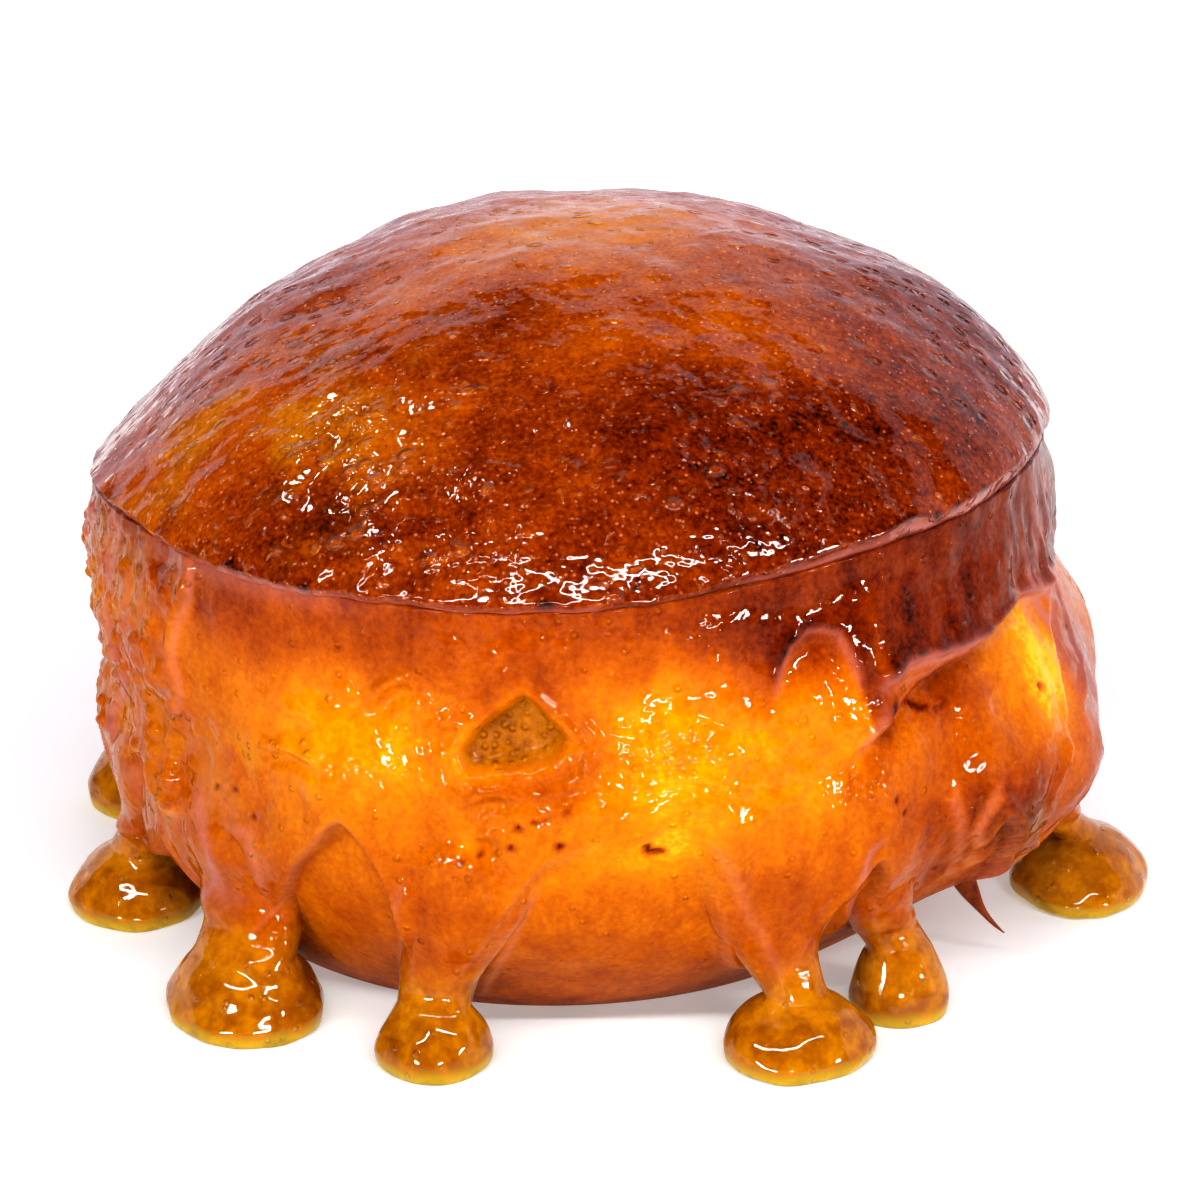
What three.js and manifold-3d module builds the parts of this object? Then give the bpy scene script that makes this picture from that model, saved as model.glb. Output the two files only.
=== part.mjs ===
// Filled doughnut, whole and uncut, wholly coated in hard caramel.
// A domed cap with a sharp rim sits on a round side that tucks in towards a flat base.
// The caramel hangs round the side as a curtain with a scalloped lower edge, and runs
// off it in thick strands that each end in a pool on the surface the doughnut stands on.
// One piece: the strands, pools and the spike of caramel are fused to the doughnut.
// Millimetres, +Z up. The origin is on the flat base; the front faces -Y.
// Azimuths are in degrees from the front, positive towards +X.

import * as THREE from 'three';
import { mergeVertices } from 'three/addons/utils/BufferGeometryUtils.js';
import Module from 'manifold-3d';

// ---- driving dimensions ----

const TOTAL_HEIGHT = 58.1;
const BASE_RADIUS = 29.5; // flat round it rests on
const BELT_RADIUS = 41.4; // widest part of the side
const BELT_HEIGHT = 20;
const RIM_RADIUS = 39.3; // where the cap meets the side
const RIM_SHOULDER = 34; // the side has drawn in to the rim radius by here

// The doughnut leans: base and rim lie a little left of the belt.
const BASE_SHIFT = -4.0;
const RIM_SHIFT = -2.5;
const RIM_SHIFT_BACK = -1.0;

// The rim is not level: height over the base, and how it rises to the right and falls in front.
const RIM_HEIGHT = 39.2;
const RIM_RISE_RIGHT = 1.6;
const RIM_FALL_FRONT = 0.5;
const RIM_WAVE = 0.5;

// Fullness of the cap: how fast it draws in and how fast it rises, round the rim.
const CAP_DRAW_IN = 0.94;
const CAP_RISE = 1.5;

const RIM_LIP = 0.6; // the rim stands proud of the side
const CURTAIN_THICKNESS = 1.3;
const LEFT_CRUST = 1.1; // thick bubbled caramel high on the left, above where it has slipped
const CURTAIN_EDGE = 20; // height of the curtain's edge between two runs
const EDGE_ROUND = 1.3; // half height over which that edge rounds off
const CURTAIN_LOW = 5; // the lowest that any fold of it comes
const SKIRT_THICKNESS = 2.1; // loose sheet low on the right

// Folds where the curtain comes lower: [azimuth, half width in degrees, drop]
const CURTAIN_FOLDS = [
  [-98, 9, 13], [-66, 13, 13], [-50, 11, 13], [-41, 8, 14], [-15, 7, 14], [21, 8.5, 14],
  [38, 6.5, 13], [58, 9, 13], [76, 12, 13],
  [108, 8, 14], [139, 9, 13], [168, 7, 14], [-152, 9, 13], [-126, 8, 14],
];

// Runs of caramel. top: where the run starts on the side. fan and neck: its full widths
// on the side and just over its pool.
// pool: azimuth and reach of its middle, full width across, full depth, height.
const RUNS = [
  { name: 'front', azimuth: -14, top: 25, fan: 12, neck: 6, pool: [-18.3, 40.4, 8.8, 8.8, 5] },
  { name: 'front_right', azimuth: 22, top: 25, fan: 16, neck: 5, pool: [22.2, 40.4, 12.4, 10.6, 5.2] },
  { name: 'right_front', azimuth: 36.5, top: 18, fan: 9, neck: 5.4, pool: [38.5, 38.2, 7.8, 8, 6.2] },
  { name: 'right', azimuth: 74, top: 20, fan: 9, neck: 5.4, pool: [81, 42.4, 15, 12.4, 5.4] },
  { name: 'front_left', azimuth: -44, top: 22, fan: 14, neck: 9.2, pool: [-42.6, 41.6, 13.4, 12, 5.6] },
  { name: 'left', azimuth: -69, top: 24, fan: 10, neck: 6.2, pool: [-75.5, 41, 12.4, 12, 5.6] },
  { name: 'left_back', azimuth: -98, top: 21, fan: 11, neck: 8, pool: [-106.5, 43.6, 12.4, 12, 6.4] },
  { name: 'back_right', azimuth: 108, top: 23, fan: 10, neck: 5.4, pool: [107, 40.4, 10, 9.6, 5] },
  { name: 'right_of_back', azimuth: 139, top: 25, fan: 14, neck: 6, pool: [137, 40.6, 12, 10.6, 5] },
  { name: 'back', azimuth: 168, top: 23, fan: 10, neck: 5.4, pool: [170, 39.8, 9, 9, 5.2] },
  { name: 'left_of_back', azimuth: -152, top: 24, fan: 13, neck: 6.4, pool: [-150, 40.8, 11.4, 10.6, 5] },
  { name: 'back_left', azimuth: -126, top: 22, fan: 10, neck: 5.6, pool: [-128, 40.6, 9.6, 9.6, 5] },
];
const LEAVE_HEIGHT = 12; // the runs leave the undercut side here and hang free
const RUN_PROUD = 1.5; // how far a run stands out of the curtain
const RUN_ROOT = 5.5; // depth of a run on the side, most of it sunk in
const RUN_FADE = 8; // a run sinks into the curtain over this height below its top
const STRAND_DEPTH = 0.78; // a hanging strand is this much less deep than wide
const POOL_FOOT = 0.9; // a pool's outline on the surface, as a share of its widest

// Pocket in the front of the side, a rounded triangle filled with caramel.
const POCKET = { azimuth: -6.5, height: 28, size: 3.3, depth: 1.3, lip: 0.6 };

// Torn fold at the right of the front: a crease that climbs to the right.
const CREASE = { from: 28, to: 62, low: 24, high: 31.5, depth: 1.0, width: 1.3 };

// Thin spike of caramel hanging from the loose sheet.
const SPIKE = { azimuth: 57, top: 9.5, tip: 2.6, reach: 36.5, tipReach: 39.4, width: 3.2, depth: 1.8 };

// Mesh fineness.
const COLUMNS = 92;
const SIDE_ROWS = 23;
const CAP_ROWS = 12;
const BASE_ROWS = 1;
const RUN_COLUMNS = 12;
const RUN_ROWS = 13;

// ---- small helpers ----

const RAD = Math.PI / 180;
const clamp = (x, lo, hi) => Math.min(hi, Math.max(lo, x));
const lerp = (a, b, t) => a + (b - a) * t;
const smoothstep = (lo, hi, x) => {
  const t = clamp((x - lo) / (hi - lo), 0, 1);
  return t * t * (3 - 2 * t);
};
const bell = (x, width) => Math.exp(-((x / width) ** 2));
const turn = (azimuth) => azimuth - 360 * Math.round(azimuth / 360);

function at(azimuth, radius, height, shift = 0, back = 0) {
  return new THREE.Vector3(
    shift + radius * Math.sin(azimuth * RAD),
    back - radius * Math.cos(azimuth * RAD),
    height,
  );
}

// A closed skin over a stack of rings, shut by one point below and one above.
// Each cell is split along its shorter diagonal, so that ridges and edges stay sharp.
function skin(rings, lowest, highest) {
  const points = [lowest, ...rings.flat(), highest];
  const columns = rings[0].length;
  const index = [];
  const id = (row, column) => 1 + row * columns + (column % columns);
  for (let column = 0; column < columns; column += 1) {
    index.push(0, id(0, column + 1), id(0, column));
    for (let row = 0; row + 1 < rings.length; row += 1) {
      const [a, b] = [id(row, column), id(row, column + 1)];
      const [c, d] = [id(row + 1, column), id(row + 1, column + 1)];
      const rising = points[a].distanceTo(points[d]) < points[b].distanceTo(points[c]);
      index.push(...(rising ? [a, b, d, a, d, c] : [a, b, c, b, d, c]));
    }
    const last = rings.length - 1;
    index.push(points.length - 1, id(last, column), id(last, column + 1));
  }
  const geometry = new THREE.BufferGeometry();
  geometry.setAttribute('position', new THREE.Float32BufferAttribute(
    points.flatMap((point) => point.toArray()), 3));
  geometry.setIndex(index);
  return geometry;
}

// ---- the doughnut's own form ----

function rimHeight(azimuth) {
  const a = azimuth * RAD;
  return RIM_HEIGHT + RIM_RISE_RIGHT * Math.sin(a) - RIM_FALL_FRONT * Math.cos(a)
    - RIM_WAVE * (0.8 * Math.cos(2 * a) + Math.cos(3 * a)) + 0.5 * RIM_WAVE * Math.sin(2 * a);
}

function sideRadius(height) {
  const tuck = Math.max(0, 1 - height / BELT_HEIGHT) ** 2.2;
  const drawIn = smoothstep(BELT_HEIGHT, RIM_SHOULDER, height);
  return BELT_RADIUS - (BELT_RADIUS - BASE_RADIUS) * tuck - (BELT_RADIUS - RIM_RADIUS) * drawIn;
}

function sideShift(height) {
  return BASE_SHIFT * Math.max(0, 1 - height / BELT_HEIGHT) ** 1.5
    + RIM_SHIFT * smoothstep(BELT_HEIGHT, RIM_SHOULDER, height);
}

const sideBack = (height) => RIM_SHIFT_BACK * clamp(height / RIM_HEIGHT, 0, 1);

function curtainEdge(azimuth) {
  const drop = Math.max(...CURTAIN_FOLDS.map(
    ([fold, width, depth]) => depth * bell(turn(azimuth - fold), width)));
  return Math.max(CURTAIN_LOW, CURTAIN_EDGE - drop);
}

function curtain(azimuth, height) {
  const edge = curtainEdge(azimuth);
  const hangs = smoothstep(edge - EDGE_ROUND, edge + EDGE_ROUND, height);
  const thins = lerp(1, 0.35, smoothstep(edge + 2, edge + 14, height));
  return CURTAIN_THICKNESS * hangs * thins;
}

function skirt(azimuth, height) {
  const round = bell(turn(azimuth - 68), 15);
  return SKIRT_THICKNESS * round * smoothstep(5.5, 9, height) * (1 - smoothstep(16, 29, height));
}

function pocket(azimuth, height) {
  const across = turn(azimuth - POCKET.azimuth) * RAD * BELT_RADIUS;
  const up = height - POCKET.height;
  const corner = [90, 210, 330].map((a) => across * Math.cos((a + 180) * RAD) + up * Math.sin((a + 180) * RAD));
  const out = Math.max(...corner, Math.hypot(across, up) * 0.62) / POCKET.size;
  return POCKET.lip * bell(out - 1.3, 0.6) - POCKET.depth * (1 - smoothstep(0.55, 1.1, out));
}

function crease(azimuth, height) {
  const along = (azimuth - CREASE.from) / (CREASE.to - CREASE.from);
  const line = lerp(CREASE.low, CREASE.high, clamp(along, 0, 1) ** 0.6);
  const ends = smoothstep(-0.15, 0.15, along) * (1 - smoothstep(0.75, 1.1, along));
  const ledge = 0.9 * smoothstep(line - 0.5, line + 1.2, height) * (1 - smoothstep(line + 2, line + 8, height));
  return ends * (ledge - CREASE.depth * bell(height - line, CREASE.width));
}

function lumps(azimuth, height) {
  const a = azimuth * RAD;
  return 0.25 * Math.sin(5 * a + height * 0.21) + 0.2 * Math.sin(9 * a - height * 0.33 + 1)
    + 0.15 * Math.sin(3 * a + height * 0.55 + 2);
}

function leftCrust(azimuth, height) {
  const round = bell(turn(azimuth + 82), 26);
  return LEFT_CRUST * round * smoothstep(23.5, 26, height) * (1 - smoothstep(32, 38, height));
}

function sideRelief(azimuth, height) {
  const grounded = smoothstep(0, 4, height);
  const lip = RIM_LIP * bell(height - rimHeight(azimuth) + 0.2, 1.4);
  return lip + curtain(azimuth, height) + skirt(azimuth, height) + pocket(azimuth, height)
    + crease(azimuth, height) + leftCrust(azimuth, height) + grounded * lumps(azimuth, height);
}

function sidePoint(azimuth, height, proud = 0) {
  const radius = sideRadius(height) + sideRelief(azimuth, height) + proud;
  return at(azimuth, radius, height, sideShift(height), sideBack(height));
}

// climb runs from 0 at the rim to 90 degrees at the top of the cap.
function capPoint(azimuth, climb) {
  const a = azimuth * RAD;
  const rim = rimHeight(azimuth);
  const drawIn = CAP_DRAW_IN + 0.05 * Math.sin(a) + 0.18 * Math.cos(a);
  const rise = CAP_RISE - 0.29 * Math.sin(a) - 0.07 * Math.cos(a);
  const rimRadius = RIM_RADIUS + sideRelief(azimuth, rim);
  const radius = rimRadius * Math.cos(climb * RAD) ** drawIn;
  const inward = Math.sin(climb * RAD) ** 2;
  const swell = 0.25 * Math.sin(2 * a + climb * 0.11) * Math.sin(2 * climb * RAD);
  const height = lerp(rim, TOTAL_HEIGHT, Math.sin(climb * RAD) ** rise) + swell;
  return at(azimuth, radius, height, lerp(RIM_SHIFT, 0, inward), lerp(RIM_SHIFT_BACK, 0, inward));
}

function ring(pointAt) {
  return Array.from({ length: COLUMNS }, (_, column) => pointAt(-180 + (360 * column) / COLUMNS));
}

function doughnutBody() {
  const rings = [];
  for (let row = 1; row <= BASE_ROWS; row += 1) {
    rings.push(ring((azimuth) => at(azimuth, (BASE_RADIUS * row) / (BASE_ROWS + 1), 0, BASE_SHIFT)));
  }
  for (let row = 0; row <= SIDE_ROWS; row += 1) {
    const share = row / SIDE_ROWS;
    rings.push(ring((azimuth) => sidePoint(azimuth, share * rimHeight(azimuth))));
  }
  for (let row = 1; row < CAP_ROWS; row += 1) {
    const climb = 90 * (row / CAP_ROWS) ** 1.15;
    rings.push(ring((azimuth) => capPoint(azimuth, climb)));
  }
  return skin(rings, new THREE.Vector3(BASE_SHIFT, 0, 0), new THREE.Vector3(0, 0, TOTAL_HEIGHT));
}

// ---- runs of caramel, each with its pool ----

function runSection(run, height) {
  const [poolAzimuth, reach, poolWidth, poolDepth, poolHeight] = run.pool;
  const proud = RUN_PROUD * smoothstep(0, RUN_FADE, run.top - height) - 0.6;
  const onSide = sidePoint(run.azimuth, height, proud - RUN_ROOT / 2);
  const overPool = at(poolAzimuth, reach, height);
  const hangs = 1 - smoothstep(poolHeight - 1, LEAVE_HEIGHT, height);
  const middle = onSide.lerp(overPool, hangs);
  const taper = Math.sqrt(clamp((run.top - height) / RUN_FADE, 0.04, 1));
  const fanned = smoothstep(poolHeight, LEAVE_HEIGHT + 5, height);
  const strand = lerp(run.neck, run.fan, fanned) * taper;
  const root = lerp(RUN_ROOT * taper, run.neck * STRAND_DEPTH, hangs);
  const bulge = Math.sqrt(Math.max(0, 1 - (height / poolHeight) ** 2));
  const foot = lerp(POOL_FOOT, 1, clamp(height / (0.25 * poolHeight), 0, 1));
  const across = Math.max(strand, lerp(run.neck, poolWidth, bulge) * foot) / 2;
  const deep = Math.max(root, lerp(run.neck * STRAND_DEPTH, poolDepth, bulge) * foot) / 2;
  return { middle, across, deep, facing: lerp(run.azimuth, poolAzimuth, hangs) };
}

function runRing(run, height) {
  const { middle, across, deep, facing } = runSection(run, height);
  return Array.from({ length: RUN_COLUMNS }, (_, column) => {
    const around = (360 * column) / RUN_COLUMNS;
    const [side, out] = [across * Math.sin(around * RAD), deep * Math.cos(around * RAD)];
    const turned = new THREE.Vector3(side, -out, 0).applyAxisAngle(new THREE.Vector3(0, 0, 1), facing * RAD);
    return middle.clone().add(turned);
  });
}

function caramelRun(run) {
  const poolHeight = run.pool[4];
  const poolRows = 6;
  const levels = Array.from({ length: poolRows }, (_, row) => poolHeight * Math.sin((90 * row * RAD) / poolRows));
  const rest = RUN_ROWS - poolRows;
  for (let row = 0; row < rest; row += 1) {
    levels.push(lerp(poolHeight, run.top - 0.4, row / (rest - 1)));
  }
  const lowest = runSection(run, 0).middle.setZ(0);
  const highest = runSection(run, run.top).middle;
  return skin(levels.map((level) => runRing(run, level)), lowest, highest);
}

function caramelSpike() {
  const levels = 5;
  const rings = [];
  for (let level = 1; level <= levels; level += 1) {
    const share = level / levels;
    const height = lerp(SPIKE.tip, SPIKE.top, share);
    const middle = at(SPIKE.azimuth, lerp(SPIKE.tipReach, SPIKE.reach, Math.sqrt(share)), height);
    rings.push(Array.from({ length: 6 }, (_, column) => {
      const around = column * 60 * RAD;
      const flat = new THREE.Vector3(
        0.5 * SPIKE.width * share * Math.sin(around), -0.5 * SPIKE.depth * share * Math.cos(around), 0);
      return middle.clone().add(flat.applyAxisAngle(new THREE.Vector3(0, 0, 1), SPIKE.azimuth * RAD));
    }));
  }
  const tip = at(SPIKE.azimuth, SPIKE.tipReach, SPIKE.tip);
  return skin(rings, tip, at(SPIKE.azimuth, SPIKE.reach, SPIKE.top + 0.5));
}

// ---- fusing ----

const wasm = await Module();
wasm.setup();

function solid(geometry) {
  const merged = mergeVertices(geometry, 1e-4);
  return new wasm.Manifold(new wasm.Mesh({
    numProp: 3,
    vertProperties: new Float32Array(merged.attributes.position.array),
    triVerts: new Uint32Array(merged.index.array),
  }));
}

function fused(geometries) {
  const whole = geometries.map(solid).reduce((sum, part) => sum.add(part));
  const mesh = whole.getMesh();
  const geometry = new THREE.BufferGeometry();
  geometry.setAttribute('position', new THREE.BufferAttribute(mesh.vertProperties, 3));
  geometry.setIndex(new THREE.BufferAttribute(mesh.triVerts, 1));
  geometry.computeVertexNormals();
  return geometry;
}

function makeDoughnut() {
  const caramel = new THREE.MeshStandardMaterial({ color: 0xb4530a, roughness: 0.15, metalness: 0 });
  const form = fused([doughnutBody(), ...RUNS.map(caramelRun), caramelSpike()]);
  const mesh = new THREE.Mesh(form, caramel);
  mesh.name = 'doughnut';
  return mesh;
}

const group = new THREE.Group();
group.add(makeDoughnut());

export default group;
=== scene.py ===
"""A whole filled doughnut in hard caramel: the looks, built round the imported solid.

The side with its caramel curtain, the domed cap, every run with its pool and the thin spike
are meshes of their own. Lengths are in millimetres until a mesh is made, then in metres.
Azimuths are in degrees from the front (-Y), positive towards +X, and heights are over the base.
"""
import math

import bpy
import numpy as np
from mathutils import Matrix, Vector


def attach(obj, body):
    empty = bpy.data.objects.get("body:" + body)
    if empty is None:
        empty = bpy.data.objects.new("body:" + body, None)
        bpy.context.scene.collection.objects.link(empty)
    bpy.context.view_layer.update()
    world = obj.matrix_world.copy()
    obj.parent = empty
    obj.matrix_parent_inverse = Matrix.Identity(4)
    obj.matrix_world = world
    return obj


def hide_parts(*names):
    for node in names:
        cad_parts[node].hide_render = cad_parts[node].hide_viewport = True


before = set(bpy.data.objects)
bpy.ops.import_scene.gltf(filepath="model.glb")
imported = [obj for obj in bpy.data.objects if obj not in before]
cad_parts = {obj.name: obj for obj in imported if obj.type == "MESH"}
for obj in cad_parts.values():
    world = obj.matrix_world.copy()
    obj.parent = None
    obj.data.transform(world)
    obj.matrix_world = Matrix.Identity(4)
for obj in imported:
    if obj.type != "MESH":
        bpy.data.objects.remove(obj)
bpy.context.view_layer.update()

MM = 0.001
SOLID = "doughnut"

# ---- sizes, as the solid has them, apart from the lip, the pocket and the spike's thickness ----

TOTAL_HEIGHT = 58.1
BASE_RADIUS = 29.5
BELT_RADIUS = 41.4
WALL_MM = BELT_RADIUS * math.pi / 180      # along the wall, for each degree of azimuth
BELT_HEIGHT = 20.0
RIM_RADIUS = 39.3
RIM_SHOULDER = 34.0
BASE_SHIFT = -4.0
RIM_SHIFT = -2.5
RIM_SHIFT_BACK = -1.0
RIM_HEIGHT = 39.2
RIM_RISE_RIGHT = 1.6
RIM_FALL_FRONT = 0.5
RIM_WAVE = 0.5
CAP_DRAW_IN = 0.94
CAP_RISE = 1.5
RIM_LIP = 0.4                       # how far the cap's edge stands proud of the side
CURTAIN_THICKNESS = 1.3
LEFT_CRUST = 1.1
CURTAIN_EDGE = 20.0
CURTAIN_LOW = 5.0
EDGE_WANDER = 0.9                   # how far the curtain's edge strays up and down
# The loose sheet low on the right: its thickness, then its middle and reach in degrees
SKIRT_THICKNESS, SKIRT_MIDDLE, SKIRT_REACH = 2.1, 68, 15
LEFT_MIDDLE = -82                   # azimuth of the bubbled crust on the left
# In the middle of the front the curtain ends softly: the place and how far it reaches, in degrees
SOFT_EDGE_MIDDLE, SOFT_EDGE_REACH = 5, 13

# Folds where the curtain comes lower: azimuth, half width in degrees, drop
CURTAIN_FOLDS = [
    (-98, 9, 13), (-66, 13, 13), (-50, 11, 13), (-41, 8, 14), (-15, 7, 14), (21, 8.5, 14),
    (38, 6.5, 13), (58, 9, 13), (76, 12, 13),
    (108, 8, 14), (139, 9, 13), (168, 7, 14), (-152, 9, 13), (-126, 8, 14),
]

# name, azimuth and top of the run on the side, its widths there and over the pool,
# then the pool: azimuth, reach, width, depth, height
RUNS = [
    ("front", -14, 25, 12, 6, (-18.3, 40.4, 8.8, 8.8, 5.0)),
    ("front_right", 22, 25, 16, 5, (22.2, 40.4, 12.4, 10.6, 5.2)),
    ("right_front", 36.5, 18, 9, 5.4, (38.5, 38.2, 7.8, 8.0, 6.2)),
    ("right", 74, 20, 9, 5.4, (81, 42.4, 15.0, 12.4, 5.4)),
    ("front_left", -44, 22, 14, 9.2, (-42.6, 41.6, 13.4, 12.0, 5.6)),
    ("left", -69, 24, 10, 6.2, (-75.5, 41.0, 12.4, 12.0, 5.6)),
    ("left_back", -98, 21, 11, 8, (-106.5, 43.6, 12.4, 12.0, 6.4)),
    ("back_right", 108, 23, 10, 5.4, (107, 40.4, 10.0, 9.6, 5.0)),
    ("right_of_back", 139, 25, 14, 6, (137, 40.6, 12.0, 10.6, 5.0)),
    ("back", 168, 23, 10, 5.4, (170, 39.8, 9.0, 9.0, 5.2)),
    ("left_of_back", -152, 24, 13, 6.4, (-150, 40.8, 11.4, 10.6, 5.0)),
    ("back_left", -126, 22, 10, 5.6, (-128, 40.6, 9.6, 9.6, 5.0)),
]
LEAVE_HEIGHT = 12.0                 # the runs leave the undercut side here and hang free
RUN_PROUD = 1.5                     # how far a run stands out of the curtain
RUN_ROOT = 5.5                      # depth of a run on the side, most of it sunk in
RUN_FADE = 8.0                      # a run sinks into the curtain over this height below its top
STRAND_DEPTH = 0.78                 # a hanging strand is this much less deep than wide
POOL_FOOT = 0.9                     # a pool's outline on the floor, as a share of its widest
POOL_BLEND = 4.0                    # the higher, the sharper the neck between strand and pool

# The crease at the right of the front climbs from its low to its high end
CREASE_FROM, CREASE_TO, CREASE_LOW, CREASE_HIGH = 28.0, 62.0, 24.0, 31.5

# The rounded pocket left of the middle, from its top round its left side: (azimuth, height)
POCKET = [(-5, 31.2), (-9, 29.2), (-11.2, 28.3), (-13.2, 26.6), (-13, 24.9), (-10, 25.2), (-7, 25.6),
          (-3, 26.4), (-0.8, 27.8), (-2, 29.3), (-3.6, 30.6)]
POCKET_DEPTH, POCKET_LIP = 1.1, 0.3

# Edges of the caramel's sheets as (azimuth, height) points. Walking along one, its sheet is on the right.
# Then how far the sheet stands out, how strong the painted highlight along its edge is, how much painted
# pink sheen it has, and how wide that sheen is.
SHEET_EDGES = {
    "left crust": ([(-48, 39), (-45.5, 37), (-46, 34.6), (-48, 32), (-49, 29.3), (-49, 26.3),
                    (-52, 22.9)], 0.5, 0.1, 0.6, 0.25),
    "far left": ([(-67, 31), (-66, 25), (-72, 19), (-70, 15), (-70, 9)], 0.3, 0.0, 0.8, 0.6),
    "left fold": ([(-50, 16.4), (-54, 14.9), (-57, 16), (-59, 18), (-67, 18.3)], 0.6, 0.3, 0.4, 0.5),
    "left crest": ([(-49, 19.4), (-47, 16.7), (-45, 14), (-45, 11), (-49, 6.9)], 0.35, 0.0, 0.9, 0.5),
    "left crest right": ([(-44, 17.5), (-39, 16.7), (-38, 14.4), (-38, 9.9)], 0.35, 0.1, 0.6, 0.5),
    "arch": ([(31.3, 29), (31.3, 32.3), (30.2, 34.3), (28.4, 34.9), (26.4, 34.9), (24.4, 33.9),
              (22.8, 31.8), (20.9, 29.5)], 0.3, 0.0, 0.45, 0.25),
    "dark band": ([(92, 33), (78, 31.4), (66, 31.1), (59, 31.6), (52, 30.5), (45, 30.7), (41, 31.1),
                   (37.6, 31.1), (34.7, 30), (33, 28.7)], 0.7, 0.0, 1.0, 0.6),
    "under the band": ([(61, 30.4), (53, 29.4), (44, 29.7), (36.6, 29.7), (33.4, 29.1)],
                       0.35, 0.05, 0.5, 0.3),
    "crease": ([(28, 24), (30, 25.7), (33, 27.8), (34, 29.5)], 0.5, 0.05, 0.5, 0.4),
    "right streak": ([(69.9, 36), (69.3, 30.5), (66.4, 28.4), (63.7, 26.1), (62.7, 23.4), (61.5, 21.6),
                      (59.7, 20)], 0.6, 0.4, 0.7, 0.3),
    "far right streak": ([(77, 31), (74.3, 27.3), (72.5, 25.2), (70.8, 23.5), (68.1, 22.1), (64.9, 20.8)],
                         0.5, 0.25, 0.9, 0.4),
    "skirt": ([(61.4, 21.2), (59.7, 20), (56.6, 18), (55.5, 15.9), (57.3, 12), (60.3, 9.8)],
              0.9, 0.5, 0.7, 0.3),
    "inner skirt": ([(51, 9.8), (42, 16.6), (44, 18.9), (47, 20.5)], 0.5, 0.25, 0.45, 0.25),
    "inner skirt left": ([(49.6, 9.1), (42.4, 14.1), (40.9, 16.8), (39.9, 19.5), (41, 21.5)],
                         0.35, 0.15, 0.45, 0.25),
    "front run left": ([(-22, 2), (-20.5, 10), (-20, 16.6)], 0.35, 0.05, 0.4, 0.3),
    "front run right": ([(-6, 17), (-8.5, 9), (-11, 1)], 0.35, 0.05, 0.4, 0.3),
    "right sheet left": ([(24, 6), (17, 13), (11, 21)], 0.4, 0.1, 0.3, 0.4),
    "right sheet right": ([(31, 18.4), (29, 17.4), (28.4, 14.5), (33.5, 8.7), (30, 5)],
                          0.4, 0.05, 0.9, 0.4),
    "back sheet": ([(128, 8), (131, 20), (127, 30), (131, 37)], 0.5, 0.1, 0.7, 0.4),
    "back crease": ([(-140, 36), (-144, 27), (-138, 18), (-141, 9)], 0.5, 0.1, 0.7, 0.4),
    "back band": ([(-172, 35), (172, 32), (156, 33), (146, 36)], 0.6, 0.0, 0.8, 0.5),
}
# Raised creases in the wall, and dark cracks, each as a line of (azimuth, height) points
RIDGES = [[(-14, 22.2), (-12, 23.7), (-7, 24.2)], [(-14, 19.6), (-12, 20.4), (-9, 20.4)],
          [(-3, 24.6), (0, 25.4), (0.5, 28)], [(-38, 24), (-33, 25.2), (-27, 24.6)],
          [(-23.5, 28.6), (-21, 30.6), (-18.5, 31.6), (-15.5, 31.8)], [(-17.5, 27.4), (-12.5, 29.6)],
          [(-26, 26.6), (-24.6, 28.2)]]
CRACKS = [[(-8, 21.1), (-5, 22.3), (-3, 23.1)], [(38, 27.4), (39.3, 26.7), (41.2, 26.4), (43.1, 26.8)],
          [(34.1, 26.6), (34.5, 28.4), (34.9, 29.2)], [(4, 20.4), (4.7, 19.6)],
          [(5, 19.2), (6.2, 19.1), (6.4, 18.5)],
          [(150, 24), (153, 25.5), (157, 25.2)]]
# Burnt specks: azimuth, height, size
SPECKS = [(-45, 19.4, 0.35), (-42, 19.8, 0.35), (-39, 18.2, 0.3), (-4, 20, 0.45), (-9, 19.6, 0.35),
          (-12, 18.9, 0.3), (-14, 18.2, 0.3), (32, 21, 0.35), (33, 19.8, 0.3), (58, 25, 0.35),
          (110, 22, 0.35), (-120, 18, 0.4), (-160, 24, 0.35)]
SPECK_SHARE = 0.75                  # how far a speck's dark middle reaches, as a share of its size
# Burnt specks along the rim: azimuth, size
RIM_SPECKS = [(-39, 0.6), (-37.5, 0.4), (-29, 0.5), (-2, 0.5), (40, 0.5), (44, 0.6), (47, 0.4),
              (52, 0.45), (95, 0.5), (150, 0.5), (-120, 0.5), (-165, 0.4)]

# The outline of a shallow torn place low in the front: (azimuth, height)
TEAR = [(7, 18.3), (11, 19.2), (9, 21.1), (7, 21.4), (4, 20.2)]

# Stretches along the rim's cloudy bevel: azimuth, how tall it is
BEVEL = [(-180, 0.8), (-120, 0.9), (-75, 0.9), (-45, 1.0), (-30, 1.0), (-18, 0.5), (-12, 0.6), (4, 0.5),
         (12, 0.2), (18, 0.6), (30, 0.9), (45, 0.9), (60, 1.1), (90, 0.9), (140, 0.7), (180, 0.8)]
# How far the cap's edge rises over the solid's rim: azimuth, rise
EDGE_RISE = [(-180, 0.6), (-60, 0.6), (-20, 0.4), (10, 0.6), (22, 0.5), (32, 1.1), (41, 1.6), (44, 1.1),
             (47, 1.5), (60, 1.5), (90, 1.1), (130, 0.6), (180, 0.6)]

# The spike's root, bend and tip, and its radius at the root and at the tip
SPIKE = [(29.6, -20.6, 7.6), (31.0, -21.2, 4.4), (33.4, -21.0, 2.3)]
SPIKE_RADIUS, SPIKE_TIP_RADIUS = 1.1, 0.06
SPIKE_RINGS, SPIKE_SIDES = 24, 12

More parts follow.
